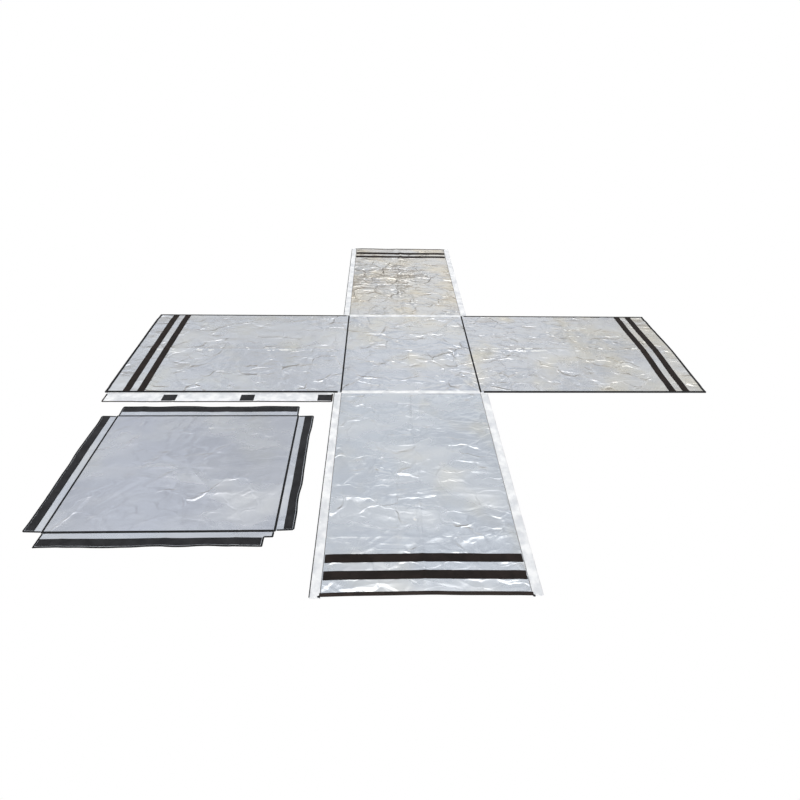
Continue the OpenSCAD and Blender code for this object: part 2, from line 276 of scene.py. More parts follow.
def skirt_creases(rng, each=3):
    """Short ripples across the lid's four skirts."""
    rows = []
    for side in SIDES:
        half, fold = LID_FOLD if side in ENDS else LID_FOLD[::-1]
        for k in range(each):
            s = half * (2 * (k + rng.uniform(0.2, 0.8)) / each - 1)
            near, far = (on_floor(side, s, d, LID_CENTRE) for d in (fold, fold + 0.11))
            rows.append((near, far, rng.uniform(2.0, 7.0), CREASE_HALF))
    return rows


PACKING = np.random.default_rng(11)
CROSS_FOLDS = base_creases(PACKING)
for wall in SIDES:
    CROSS_FOLDS += wall_creases(wall, PACKING)
LID_FOLDS = lid_creases(PACKING)
SKIRT_FOLDS = skirt_creases(PACKING)


def folds(x, y, table):
    """Sum of a table's folds, each a broad swell with a tight crest."""
    total = np.zeros_like(x)
    for a, b, height, width in table:
        total += crease(x, y, a, b, 0.62 * height * MM, width * MM)
        total += crease(x, y, a, b, 0.38 * height * MM, 0.22 * width * MM)
    return total


def beyond_base(x, y):
    """Distance outside the base, or inside it when negative."""
    return np.maximum(np.abs(x) - SIDE_FOLD, np.abs(y) - END_FOLD)


def edge_hold(x, y):
    """Share of the lift that is left near the walls' side edges: the corner flaps tuck
    against the side walls, and hang on the sides of the end walls."""
    on_side = np.abs(x) > SIDE_FOLD
    side_wall = 0.05 + 0.95 * step(END_FOLD - np.abs(y), 52 * MM, 120 * MM)
    end_wall = 0.4 + 0.6 * step(SIDE_FOLD - np.abs(x), 5 * MM, 70 * MM)
    on_wall = beyond_base(x, y) > 0
    return np.where(on_wall, np.where(on_side, side_wall, end_wall), 1.0)


def cross_lift(x, y):
    """How far the open cover's cloth stands off the floor."""
    out = beyond_base(x, y)
    waves = 1.6 * MM * (1 + noise(x, y, 0.33, 3))
    ripple = 3.0 * MM * step(out, WALL_H - 0.45, WALL_H) * (1 + noise(x, y, 0.16, 11))
    lift = np.clip(waves + ripple + folds(x, y, CROSS_FOLDS), 0, None)
    lift = LIFT_TOP * np.tanh(lift / LIFT_TOP)
    return lift * (0.06 + 0.94 * step(np.abs(out), 4 * MM, 60 * MM)) * edge_hold(x, y)


def lid_lift(x, y):
    """How far the lid's cloth stands off the floor. The skirts curl along their outer edges."""
    u, v = np.abs(x - LID_CENTRE[0]), np.abs(y - LID_CENTRE[1])
    beyond = np.maximum(u - LID_HALF[0], v - LID_HALF[1])
    lift = 1.0 * MM * (1 + noise(x, y, 0.3, 7)) + folds(x, y, LID_FOLDS)
    curl = 3.2 * MM * step(beyond, 10 * MM, 95 * MM) * (1 + noise(x, y, 0.19, 17))
    lift = lift * (0.3 + 0.7 * step(np.abs(beyond), 3 * MM, 40 * MM)) + curl
    lift = lift + folds(x, y, SKIRT_FOLDS) * step(beyond, 0, 60 * MM)
    return LIFT_TOP * np.tanh(np.clip(lift, 0, None) / LIFT_TOP)


def film_wrinkles(x, y, seed, strength=1.0):
    """Fine relief of the facing film, on top of the lift."""
    fine = 1.25 * MM * crumple(x, y, 0.085, seed) + 0.45 * MM * crumple(x, y, 0.036, seed + 60)
    patchy = 0.35 + 0.65 * step(noise(x, y, 0.24, seed + 9), -0.5, 0.6)
    return strength * patchy * fine


def short_creases(x, y, panel):
    """The scattered short creases of one panel, in its own box and heading."""
    box, count, heading, height = PANEL_CREASES[panel.name]
    s, d = panel.patch.local(x, y)
    return random_creases(s, d, box, count, heading, LEAN_SPREAD, height * MM, panel.seed + 1)


def inner(half, near, far, margin=0.03):
    """A panel's box (across from, to, outward from, to), drawn in by a margin."""
    return margin - half, half - margin, near + margin, far - margin


LEAN_SPREAD = 30  # degrees by which the short creases' lean varies
END_WALL_BOX = inner(SIDE_FOLD, END_FOLD, END_FOLD + WALL_H)
SIDE_WALL_BOX = inner(END_FOLD, SIDE_FOLD, SIDE_FOLD + WALL_H)

# Short creases scattered over each panel: where, how many, their lean in degrees, height in mm
PANEL_CREASES = {
    "base": (inner(SIDE_FOLD, -END_FOLD, END_FOLD), 95, 5, 2.0),
    "front_wall": (END_WALL_BOX, 150, -12, 1.35),
    "back_wall": (END_WALL_BOX, 150, 25, 2.3),
    "left_wall": (SIDE_WALL_BOX, 130, 80, 1.3),
    "right_wall": (SIDE_WALL_BOX, 130, 70, 1.7),
    "lid": (inner(LID_FOLD[0], -LID_FOLD[1], LID_FOLD[1]), 90, -40, 1.1),
}

# ------------ surfaces of the cloth

LID_PATCH = patch_of("lid_foam_core", "front", LID_CENTRE)
LID_HALF = (LID_PATCH.s1, LID_PATCH.d1)

# The cloth doesn't lie quite square: the most that each outer edge wanders from its
# straight line
END_WANDER = 9 * MM
SKIRT_WANDER = 5 * MM
CLOSING_WANDER = 2 * MM


def wavy(near, far, most, size, seed, lean=0.0):
    """A wander that leaves cloth straight up to near, and slightly wavy at far."""

    def wander(s, d):
        wave = noise(s, 0 * s, size, seed) - lean
        return s, d + step(d, near, far) * most * wave

    return wander


def straight(s, d):
    return s, d


# Above this rise the film gives way less and less, so that it stays near the CAD solid
RISE_SOFT = 8 * MM
RISE_GIVE = 1.5 * MM


class Panel:
    """A wall, the base or the lid: foam between two films, pinched flat at its edges."""

    def __init__(self, name, side, lift, wander, seed, centre=ORIGIN):
        self.name, self.lift, self.wander, self.seed = name, lift, wander, seed
        self.patch = patch_of(f"{name}_foam_core", side, centre)
        is_lid = name == "lid"
        self.upper = "outer" if is_lid else "inner"
        self.lower = "inner" if is_lid else "outer"
        self.z_top = heights(f"{name}_{self.upper}_film")[1]
        self.z_under = heights(f"{name}_{self.lower}_film")[0]
        self.sewn = []

    def from_edge(self, x, y):
        s, d = self.patch.local(x, y)
        patch = self.patch
        return np.minimum.reduce((s - patch.s0, patch.s1 - s, d - patch.d0, patch.d1 - d))

    def hold(self, x, y):
        """Share of the fine wrinkles that is left near edges and under tapes sewn on."""
        share = 0.25 + 0.75 * step(self.from_edge(x, y), 0, 24 * MM)
        _, d = self.patch.local(x, y)
        for d0, d1 in self.sewn:
            off = np.maximum(d0 - d, d - d1)
            share = share * (0.12 + 0.88 * step(off, 0, 14 * MM))
        if self.name == "lid":
            return share
        return share * np.sqrt(edge_hold(x, y))

    def pinch(self, x, y):
        """Share of half the thickness that is lost where the panel is sewn shut."""
        t = np.clip(self.from_edge(x, y) / (9 * MM), 0, 1)
        return 1 - np.sqrt(1 - (1 - t) ** 2)

    def top(self, x, y):
        fine = film_wrinkles(x, y, self.seed) + short_creases(x, y, self)
        low = 2.0 * MM * self.pinch(x, y)
        rise = self.lift(x, y) + fine * self.hold(x, y)
        over = np.clip(rise - RISE_SOFT, 0, None)
        return self.z_top - low + np.minimum(rise, RISE_SOFT) + RISE_GIVE * np.tanh(over / RISE_GIVE)

    def under(self, x, y):
        fine = np.abs(film_wrinkles(x, y, self.seed + 30, 1.3)) * self.hold(x, y)
        rise = 1.4 * MM * self.pinch(x, y)
        return np.maximum(self.z_under + rise + 0.8 * self.lift(x, y) + fine, 0.15 * MM)


class Sheet:
    """A single sheet beside a panel, such as a flap or skirt."""

    def __init__(self, node, side, lift, wander, centre=ORIGIN):
        self.name, self.lift, self.wander = node, lift, wander
        self.patch = patch_of(node, side, centre)
        self.z_under, self.z_top = heights(node)

    def top(self, x, y):
        return self.z_top + self.lift(x, y)

    def under(self, x, y):
        return self.z_under + self.lift(x, y)


def flap_lift(x, y):
    """Lift of a corner flap: the wall's at its fold, easing down outward, with cross folds."""
    wall_x = np.clip(x, -FLAP_FOLD, FLAP_FOLD)
    off = np.abs(x) - FLAP_FOLD
    ease = step(off, 0, 50 * MM)
    marks = folds(x, y, FLAP_MARKS)
    wave = 1.0 * MM * noise(x * 0.3, y, 0.13, 51)
    return cross_lift(wall_x, y) * (1 - 0.5 * ease) + (wave + marks + 1.2 * MM) * step(off, 0, 14 * MM)


def closing_lift(x, y):
    """Lift of the closing flap: the left wall's at its fold, with cross folds."""
    wall_y = np.clip(y, 3 * MM - END_FOLD, None)
    off = -y - CLOSING_FOLD
    marks = folds(x, y, CLOSING_MARKS)
    wave = 1.2 * MM * noise(x, y * 0.4, 0.15, 53)
    return cross_lift(x, wall_y) + (wave + marks - 0.5 * MM) * step(off, 0, 30 * MM)


def marks_across(rng, low, high, from_, to_, along_y):
    """Cross folds pressed into a narrow sheet, where it was packed."""
    marks = []
    place = low + rng.uniform(0.03, 0.1)
    while place < high:
        skew = rng.uniform(-0.02, 0.02)
        height, width = rng.uniform(0.8, 2.0), rng.uniform(4, 8)
        a, b = (from_, place), (to_, place + skew)
        if not along_y:
            a, b = a[::-1], b[::-1]
        marks.append((a, b, height, width))
        place += rng.uniform(0.05, 0.17)
    return marks


FLAP_MARK = (FLAP_FOLD - 6 * MM, FLAP_FOLD + 64 * MM)  # across a corner flap, from and to


def flap_marks():
    rng = np.random.default_rng(8)
    far = END_FOLD + WALL_H
    marks = []
    for side in (-1, 1):
        for low, high in ((-far, -END_FOLD), (END_FOLD, far)):
            marks += marks_across(rng, low, high, side * FLAP_MARK[0], side * FLAP_MARK[1], True)
    return marks


FLAP_MARKS = flap_marks()
CLOSING_MARKS = marks_across(
    np.random.default_rng(9), -SIDE_FOLD - WALL_H, -SIDE_FOLD, -CLOSING_FOLD, -CLOSING_FOLD - 0.12, False
)

PANELS = {"base": Panel("base", "front", cross_lift, straight, 100)}
SKIRTS = {}
for k, side in enumerate(SIDES):
    waver = wavy(END_FOLD + 0.35, END_FOLD + WALL_H, END_WANDER, 0.45, 31 + k, lean=0.4)
    PANELS[side] = Panel(f"{side}_wall", side, cross_lift, waver, 200 + 100 * k)
    for row in ("upper", "lower"):
        tape_patch = patch_of(f"{side}_wall_loop_tape_{row}", side)
        PANELS[side].sewn.append((tape_patch.d0, tape_patch.d1))
    waver = wavy(SKIRT_FOLD[side] + 12 * MM, SKIRT_FOLD[side] + 100 * MM, SKIRT_WANDER, 0.13, 41 + k)
    SKIRTS[side] = Sheet(f"lid_{side}_skirt", side, lid_lift, waver, LID_CENTRE)
PANELS["lid"] = Panel("lid", "front", lid_lift, straight, 600, LID_CENTRE)

CORNER_FLAPS = {
    f"{end}_{side}_flap": Sheet(f"{end}_{side}_flap", side, flap_lift, straight)
    for end in ENDS
    for side in ("left", "right")
}
closing_waver = wavy(CLOSING_FOLD + 20 * MM, CLOSING_FOLD + 100 * MM, CLOSING_WANDER, 0.2, 47)
CLOSING_FLAP = Sheet("left_closing_flap", "front", closing_lift, closing_waver)

# ------------ meshes


def new_mesh(name, verts, faces, material):
    mesh = bpy.data.meshes.new(name)
    mesh.from_pydata(np.asarray(verts, float).tolist(), [], [list(map(int, f)) for f in faces])
    mesh.update()
    mesh.polygons.foreach_set("use_smooth", [True] * len(mesh.polygons))
    obj = bpy.data.objects.new(name, mesh)
    bpy.context.scene.collection.objects.link(obj)
    mesh.materials.append(material)
    return obj


def spaced(low, high, pitch):
    """Evenly spaced numbers from low to high, with finer steps at both ends."""
    count = max(2, int(round((high - low) / pitch)) + 1)
    inner = np.linspace(low, high, count)
    fine = [f for f in (1.0 * MM, 3.0 * MM, 6.0 * MM) if f < (high - low) / 5]
    ends = [low + f for f in fine] + [high - f for f in fine]
    return np.unique(np.concatenate((inner, ends)))


def shell(name, xs, ys, top, under, material):
    """A closed thin sheet over a grid of floor points, from under up to top."""
    rows, cols = xs.shape
    count = rows * cols
    verts = np.empty((2 * count, 3))
    verts[:count] = np.stack((xs.ravel(), ys.ravel(), top.ravel()), 1)
    verts[count:] = np.stack((xs.ravel(), ys.ravel(), under.ravel()), 1)
    index = np.arange(count).reshape(rows, cols)
    a, b = index[:-1, :-1].ravel(), index[1:, :-1].ravel()
    c, d = index[1:, 1:].ravel(), index[:-1, 1:].ravel()
    upper = np.stack((a, b, c, d), 1)
    lower = upper[:, ::-1] + count
    rim = np.concatenate((index[:, 0], index[-1, 1:], index[-2::-1, -1], index[0, -2:0:-1]))
    following = np.roll(rim, -1)
    sides = np.stack((rim, rim + count, following + count, following), 1)
    faces = np.concatenate((upper, lower, sides))
    if np.cross(verts[b[0]] - verts[a[0]], verts[c[0]] - verts[a[0]])[2] < 0:
        faces = faces[:, ::-1]
    return new_mesh(name, verts, faces, material)


def grid(patch, pitch, wander=straight, corner=0.0, outward=None):
    """Floor points over a patch, with its outer corners rounded to a radius."""
    s = spaced(patch.s0, patch.s1, pitch)
    t = spaced(patch.d0, patch.d1, pitch) if outward is None else outward
    t = (t - patch.d0) / (patch.d1 - patch.d0)
    if corner:
        bend = corner * (1 - np.cos(np.linspace(0, math.pi / 2, 6)))
        s = np.unique(np.concatenate((s, patch.s0 + bend, patch.s1 - bend)))
    short = np.clip(corner - np.minimum(s - patch.s0, patch.s1 - s), 0, corner)
    cut = corner - np.sqrt(np.maximum(corner**2 - short**2, 0))
    ss, tt = np.meshgrid(s, t, indexing="ij")
    dd = patch.d0 + tt * ((patch.d1 - cut)[:, None] - patch.d0)
    return patch.world(*wander(ss, dd))


def from_fold(patch, bent, rows):
    """Places outward over a patch: eight as far as bent, where it bends, then the rest."""
    return np.unique(np.concatenate((np.linspace(patch.d0, bent, 8), np.linspace(bent, patch.d1, rows))))


def swept(name, path, outs, section, surface, material):
    """A closed section swept along a floor path. Each section point is (outward, level, rise):
    level 1 is the surface's top there, 0 its underside, and the rise is added."""
    path, outs = np.asarray(path, float), np.asarray(outs, float)
    k = len(section)
    verts = np.empty((len(path) * k, 3))
    for j, (outward, level, rise) in enumerate(section):
        x, y = (path + outs * outward).T
        top, under = surface.top(x, y), surface.under(x, y)
        verts[j::k] = np.stack((x, y, under + level * (top - under) + rise), 1)
    i, j = np.meshgrid(np.arange(len(path) - 1), np.arange(k), indexing="ij")
    i, j = i.ravel(), j.ravel()
    n = (j + 1) % k
    faces = np.stack((i * k + j, i * k + n, (i + 1) * k + n, (i + 1) * k + j), 1).tolist()
    last = (len(path) - 1) * k
    faces.append(list(range(k - 1, -1, -1)))
    faces.append([last + m for m in range(k)])
    piece = new_mesh(name, verts, faces, material)
    outward_faces(piece)
    return piece


def outward_faces(piece):
    """Turns all faces outward, whichever way the path ran."""
    work = bmesh.new()
    work.from_mesh(piece.data)
    bmesh.ops.recalc_face_normals(work, faces=work.faces)
    work.to_mesh(piece.data)
    work.free()


PATH_PITCH = 12 * MM


def headed(a, b, middle):
    """Unit vector from a to b, and the one across it that points away from the middle."""
    along = (b - a) / np.linalg.norm(b - a)
    away = np.array((along[1], -along[0]))
    return along, away if away @ ((a + b) / 2 - middle) > 0 else -away


def path_along(surface, corners, radius=0.0, centre=None):
    """Floor points along a line through (s, d) corners, each with an outward vector that
    points away from the patch's middle. Corners are rounded to the radius."""
    patch = surface.patch
    middle = np.array(centre or ((patch.s0 + patch.s1) / 2, (patch.d0 + patch.d1) / 2))
    corners = [np.array(c, float) for c in corners]
    points, outs = [], []
    start = corners[0]
    for i in range(len(corners) - 1):
        t, n = headed(corners[i], corners[i + 1], middle)
        is_last = i == len(corners) - 2
        stop = corners[i + 1] if is_last else corners[i + 1] - t * radius
        count = max(2, int(np.linalg.norm(stop - start) / PATH_PITCH) + 1)
        run = [start + (stop - start) * f for f in np.linspace(0, 1, count)]
        if is_last:
            points += run
            outs += [n] * count
            break
        t2, n2 = headed(corners[i + 1], corners[i + 2], middle)
        points += run[:-1]
        outs += [n] * (count - 1)
        way = 1 if n @ t2 < 0 else -1
        hub = stop - way * n * radius
        for f in np.linspace(0, math.pi / 2, 6):
            turn = n * math.cos(f) + n2 * math.sin(f)
            points.append(hub + way * turn * radius)
            outs.append(turn)
        start = hub + way * n2 * radius
    points, outs = np.array(points), np.array(outs)
    floor = np.stack(patch.world(*surface.wander(points[:, 0], points[:, 1])), 1)
    return floor, outs[:, :1] * np.array(ACROSS[patch.side]) + outs[:, 1:] * np.array(OUT[patch.side])


def three_sides(patch, near):
    """The (s, d) corners of a patch's two ends and outer edge, from near outward."""
    return [(patch.s0, near), (patch.s0, patch.d1), (patch.s1, patch.d1), (patch.s1, near)]


def folded_section(width, lip, plump=1.0):
    """Section of binding tape folded over an edge, fuller at the fold."""
    full = lip * plump
    return [
        (-width, 1, 0.1 * lip),
        (-width + 0.6 * lip, 1, 0.9 * lip),
        (-0.6 * width, 1, 1.1 * full),
        (-0.25 * width, 1, 1.6 * full),
        (0.3 * lip, 0.95, 1.1 * full),
        (lip * plump, 0.5, 0.0),
        (0.3 * lip, 0.05, -0.5 * lip),
        (-0.6 * lip, 0, -0.8 * lip),
        (-width, 0, -0.8 * lip),
        (-width, 0, 0.0),
        (-0.3 * lip, 0.1, 0.0),
        (-0.3 * lip, 0.9, 0.0),
    ]


def piping_section(width, beyond, height):
    """Section of a raised, rounded seam that runs along a fold."""
    turns = np.linspace(0, math.pi, 9)
    middle, half = (beyond - width) / 2, (beyond + width) / 2
    arch = [(middle + half * math.cos(a), 1, height * math.sin(a) ** 0.7) for a in turns]
    return arch + [(-width, 0, -0.6 * MM), (0.0, 0, -0.6 * MM)]


def tube_section(radius, rise, count):
    """Round section that sits rise above the cloth."""
    turns = np.linspace(0, 2 * math.pi, count, endpoint=False)
    return [(radius * math.cos(a), 1, rise + radius * math.sin(a)) for a in turns]


# ------------ materials


def new_material(name):
    """A material, its empty node tree and its shader."""
    material = bpy.data.materials.new(name)
    material.use_nodes = True
    tree = material.node_tree
    tree.nodes.clear()
    out = tree.nodes.new("ShaderNodeOutputMaterial")
    shader = tree.nodes.new("ShaderNodeBsdfPrincipled")
    tree.links.new(shader.outputs[0], out.inputs[0])
    return material, tree, shader


def feed(tree, node, inputs):
    """Links each input to a socket, or sets its value."""
    for key, value in inputs.items():
        if isinstance(value, bpy.types.NodeSocket):
            tree.links.new(value, node.inputs[key])
        else:
            node.inputs[key].default_value = value


def add(tree, kind, inputs=None, **settings):
    node = tree.nodes.new(kind)
    for key, value in settings.items():
        setattr(node, key, value)
    feed(tree, node, inputs or {})
    return node


def object_place(tree):
    return add(tree, "ShaderNodeTexCoord").outputs["Object"]


def maths(tree, operation, *values):
    return add(tree, "ShaderNodeMath", dict(enumerate(values)), operation=operation).outputs[0]


def vectors(tree, operation, a, b):
    node = add(tree, "ShaderNodeVectorMath", {0: a, 1: b}, operation=operation)
    return node.outputs["Value" if operation in ("DOT_PRODUCT", "DISTANCE") else "Vector"]


def spread(tree, value, low, high, to_low=0.0, to_high=1.0):
    """Smoothly carries low..high to another range, and holds beyond it."""
    inputs = {"Value": value, "From Min": low, "From Max": high, "To Min": to_low, "To Max": to_high}
    return add(tree, "ShaderNodeMapRange", inputs, interpolation_type="SMOOTHSTEP").outputs[0]


def mixed(tree, factor, a, b):
    return add(tree, "ShaderNodeMix", {0: factor, 6: a, 7: b}, data_type="RGBA").outputs[2]


def texture(tree, place, scale, detail=2.0, distortion=0.0, output=0):
    inputs = {"Vector": place, "Scale": scale, "Detail": detail, "Distortion": distortion}
    return add(tree, "ShaderNodeTexNoise", inputs).outputs[output]


def bump(tree, height, strength=1.0, distance=1.0):
    inputs = {"Strength": strength, "Distance": distance, "Height": height}
    return add(tree, "ShaderNodeBump", inputs).outputs[0]


MIDDLE = (0.5, 0.5, 0.5)  # of a random colour, which is taken off to leave a shift


def facets(tree, place, scale, slope):
    """Height of small flat facets, each tilted its own way, as in crumpled film."""
    inputs = {"Vector": place, "Scale": scale, "Smoothness": 0.35, "Randomness": 1.0}
    cells = add(tree, "ShaderNodeTexVoronoi", inputs, feature="SMOOTH_F1", voronoi_dimensions="2D")
    offset = vectors(tree, "SUBTRACT", place, cells.outputs["Position"])
    tilt = vectors(tree, "SUBTRACT", cells.outputs["Color"], MIDDLE)
    return maths(tree, "MULTIPLY", vectors(tree, "DOT_PRODUCT", offset, tilt), slope)


def stretched(tree, place, turn):
    """The place, turned and squeezed, so that a texture on it runs long one way."""
    inputs = {"Vector": place, "Rotation": (0.0, 0.0, turn), "Scale": (0.4, 1.0, 1.0)}
    return add(tree, "ShaderNodeMapping", inputs).outputs[0]


def crease_lines(tree, place, scale, height, half_width, seed):
    """Height of thin winding ridges, present in some areas only."""
    shifted = vectors(tree, "ADD", place, (seed * 3.7, seed * 1.3, 0.0))
    wander = texture(tree, shifted, scale, 1.5, 0.4)
    off = maths(tree, "ABSOLUTE", maths(tree, "SUBTRACT", wander, 0.5))
    line = spread(tree, off, 0.0, half_width * scale, 1.0, 0.0)
    area = spread(tree, texture(tree, shifted, scale * 0.8, 1.0), 0.45, 0.62)
    return maths(tree, "MULTIPLY", maths(tree, "MULTIPLY", line, area), height)


PAINTED_HIGHLIGHT = (0.86, 0.86, 0.85, 1)  # painted highlight: the lighter colour of broad patches, where the film is also rougher


def foil_relief(tree, place, pushed, crinkle, crushed):
    """Height of a film's crinkles, stronger where it was handled or crushed."""
    handled = spread(tree, texture(tree, place, 4.0), 0.35, 0.68, 0.15, 1.0)
    if crushed:
        x, y, radius = crushed
        away = vectors(tree, "DISTANCE", vectors(tree, "MULTIPLY", place, (1.0, 1.0, 0.0)), (x, y, 0.0))
        handled = maths(tree, "ADD", handled, spread(tree, away, 0.35 * radius, radius, 2.2, 0.0))
    relief = facets(tree, pushed, 7.0, 0.085 * crinkle)
    relief = maths(tree, "ADD", relief, facets(tree, stretched(tree, pushed, 0.5), 17.0, 0.075 * crinkle))
    relief = maths(tree, "MULTIPLY", relief, handled)
    for seed, (scale, turn) in enumerate(((2.6, 0.3), (4.3, -0.5), (6.0, 1.2))):
        lines = crease_lines(tree, stretched(tree, place, turn), scale, 0.00035 * crinkle, 0.007, seed)
        relief = maths(tree, "ADD", relief, lines)
    crumbs = texture(tree, place, 30.0, 2.5, 0.8)
    return maths(tree, "MULTIPLY_ADD", crumbs, 0.0004 * crinkle, relief)


def foil(name, cool, warm, rough=0.27, reflection_warmth=0.0, crinkle=1.0, warm_reflection_part=None, crushed=None):
    """Metallised film: pale, softly mirror-like, with crinkles. Its colour turns from cool to warm in broad
    patches and over a warm part, a painted reflection of warm surroundings. A warm part is (axis, from, to),
    and a crushed part is (x, y, radius)."""
    material, tree, shader = new_material(name)
    place = object_place(tree)
    push = vectors(tree, "SUBTRACT", texture(tree, place, 7.0, output="Color"), MIDDLE)
    pushed = vectors(tree, "ADD", place, vectors(tree, "MULTIPLY", push, (0.12, 0.12, 0.0)))
    # Painted reflection: broad patches, and the warm part, mix the warm colour into the film
    broad = texture(tree, place, 2.6, 3.0)
    warm_reflection_share = spread(tree, broad, 0.5 - reflection_warmth, 0.75 - reflection_warmth)
    if warm_reflection_part:
        axis, low, high = warm_reflection_part
        along = add(tree, "ShaderNodeSeparateXYZ", {"Vector": pushed}).outputs[axis]
        share = maths(tree, "MULTIPLY", spread(tree, along, low, high), spread(tree, broad, 0.35, 0.65))
        warm_reflection_share = maths(tree, "MAXIMUM", warm_reflection_share, share)
    reflection_tinted_colour = mixed(tree, warm_reflection_share, (*cool, 1), (*warm, 1))
    # Broad patches where the film is rougher, and painted lighter as a painted highlight
    highlight_and_rough = spread(tree, texture(tree, stretched(tree, pushed, 0.15), 3.4, 5.0, 0.62), 0.40, 0.75)
    feed(tree, shader, {
        "Normal": bump(tree, foil_relief(tree, place, pushed, crinkle, crushed)),
        "Base Color": mixed(tree, maths(tree, "MULTIPLY", highlight_and_rough, 0.5), reflection_tinted_colour, PAINTED_HIGHLIGHT),
        "Roughness": maths(tree, "MULTIPLY_ADD", highlight_and_rough, 0.16, rough - 0.05),
        "Metallic": 0.78,
        "Coat Weight": 0.12,
        "Coat Roughness": 0.12,
    })
    return material


def weave_height(tree, place, pitch):
    """Over-and-under height of a plain weave in the floor plane, from -1 to 1."""
    split = add(tree, "ShaderNodeSeparateXYZ", {"Vector": place})
    turns = [maths(tree, "MULTIPLY", split.outputs[k], 2 * math.pi / pitch) for k in (0, 1)]
    return maths(tree, "MULTIPLY", *(maths(tree, "SINE", turn) for turn in turns))


def cloth(name, colour, dark, rough, pitch, depth, sheen=0.0, blotch=0.5):
    """Woven cloth or tape: thread pattern, painted shade in the weave's dips, slight unevenness of colour,
    and lint.
    """
    material, tree, shader = new_material(name)
    place = object_place(tree)
    weave = weave_height(tree, place, pitch)
    lint = texture(tree, place, 420.0)
    shade = spread(tree, texture(tree, place, 14.0, 5.0), 0.5 - blotch / 2, 0.5 + blotch / 2)
    # Painted shade: the colour darkens where the weave dips
    shade = maths(tree, "MULTIPLY_ADD", weave, 0.15, shade)
    relief = maths(tree, "ADD", maths(tree, "MULTIPLY", weave, 0.5), maths(tree, "MULTIPLY", lint, 0.7))
    feed(tree, shader, {
        "Base Color": mixed(tree, shade, (*dark, 1), (*colour, 1)),
        "Normal": bump(tree, relief, 0.6, depth),
        "Roughness": rough,
        "Specular IOR Level": 0.25,
        "Sheen Weight": sheen,
        "Sheen Roughness": 0.5,
    })
    return material


def foam_material():
    """Fine closed-cell foam, seen only along cut edges."""
    material, tree, shader = new_material("foam_white")
    cells = add(tree, "ShaderNodeTexVoronoi", {"Vector": object_place(tree), "Scale": 900.0}).outputs[0]
    feed(tree, shader, {
        "Base Color": mixed(tree, cells, (0.80, 0.80, 0.78, 1), (0.68, 0.68, 0.66, 1)),
        "Normal": bump(tree, cells, 0.5, 0.001),
        "Roughness": 0.8,
    })
    return material


# All panels are one metallised film. Their different colours are painted light: the lid's top is a darker
# copy of the outer film, and the warm colours are painted reflection of warm surroundings
FOIL = {
    "base": foil(
        "foil_base", (0.71, 0.73, 0.775), (0.80, 0.76, 0.67), crinkle=2.4, warm_reflection_part=(1, 0.0, END_FOLD),
    ),
    "front": foil("foil_front", (0.70, 0.73, 0.775), (0.77, 0.765, 0.73), crinkle=1.35),
    "left": foil("foil_left", (0.72, 0.735, 0.775), (0.77, 0.765, 0.72), crinkle=1.7),
    "right": foil(
        "foil_right", (0.71, 0.72, 0.75), (0.79, 0.75, 0.66), crinkle=2.0,
        warm_reflection_part=(0, SIDE_FOLD + 0.45 * WALL_H, SIDE_FOLD + 0.55 * WALL_H),
    ),
    "back": foil(
        "foil_back", (0.72, 0.71, 0.70), (0.80, 0.74, 0.63), rough=0.2, reflection_warmth=0.1, crinkle=2.2,
        crushed=(-0.5 * SIDE_FOLD, END_FOLD + 0.5 * WALL_H, 0.6),
    ),
    "lid": foil("foil_lid", (0.60, 0.615, 0.67), (0.63, 0.64, 0.66), rough=0.26, crinkle=0.6),
    "outer": foil("foil_outer", (0.68, 0.71, 0.75), (0.72, 0.72, 0.71), rough=0.28, crinkle=1.7),
    "skirt": foil("foil_skirt", (0.68, 0.70, 0.75), (0.70, 0.71, 0.73), rough=0.3, crinkle=0.4),
}
WHITE_WEAVE = cloth("white_weave", (0.87, 0.87, 0.87), (0.66, 0.67, 0.69), 0.5, 1.6 * MM, 0.0006, 0.0, 0.35)
LOOP = cloth("loop_pile", (0.021, 0.014, 0.012), (0.010, 0.007, 0.006), 0.95, 1.1 * MM, 0.0012, 0.02)
HOOK = cloth("hook_tape", (0.024, 0.024, 0.027), (0.010, 0.010, 0.012), 0.75, 1.4 * MM, 0.0009, 0.02)
BLACK = cloth("black_binding", (0.010, 0.010, 0.011), (0.005, 0.005, 0.006), 0.65, 1.2 * MM, 0.0006)
BROWN = cloth("brown_binding", (0.028, 0.018, 0.014), (0.015, 0.010, 0.008), 0.7, 1.2 * MM, 0.0006)
STITCHING = cloth("stitching", (0.055, 0.048, 0.045), (0.03, 0.026, 0.024), 0.6, 0.6 * MM, 0.0002)
FOAM = foam_material()

# ------------ tying pieces down


def show(piece, body, slot, *nodes):
    """Ties a finished piece to its body and hides the CAD nodes it stands for. The slot is not used."""
    if body:
        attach(piece, body)
    if nodes:
        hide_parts(*nodes)
    return piece


def stand_in(node, body, points, top, under, material):
    """A closed sheet over floor points, in the place of a CAD node."""
    piece = shell(f"{node}_soft", *points, top, under, material)
    return show(piece, body, SLOTS[node], node)


def soft_sheet(node, body, sheet, points, material):
    """The same, between the top and the underside of a single sheet."""
    return stand_in(node, body, points, sheet.top(*points), sheet.under(*points), material)


def bind(node, body, surface, corners, section, material, radius=0.0, centre=None):
    """A binding along a line through (s, d) corners, in the place of a CAD node."""
    path, outs = path_along(surface, corners, radius, centre)
    piece = swept(f"{node}_soft", path, outs, section, surface, material)
    show(piece, body, SLOTS[node], node)


def bend(piece, joint, direction, before, after):
    """Bakes a piece's transform into its mesh. The stretch about the joint, from before it to after it along
    a floor direction, is worked out but not used.
    """
    place = Vector(JOINTS[joint]["pos_m"])
    way = Vector((*direction, 0))
    start, end = place - way * before, place + way * after
    tuple(start)
    tuple(end)
    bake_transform(piece)


# ------------ panels

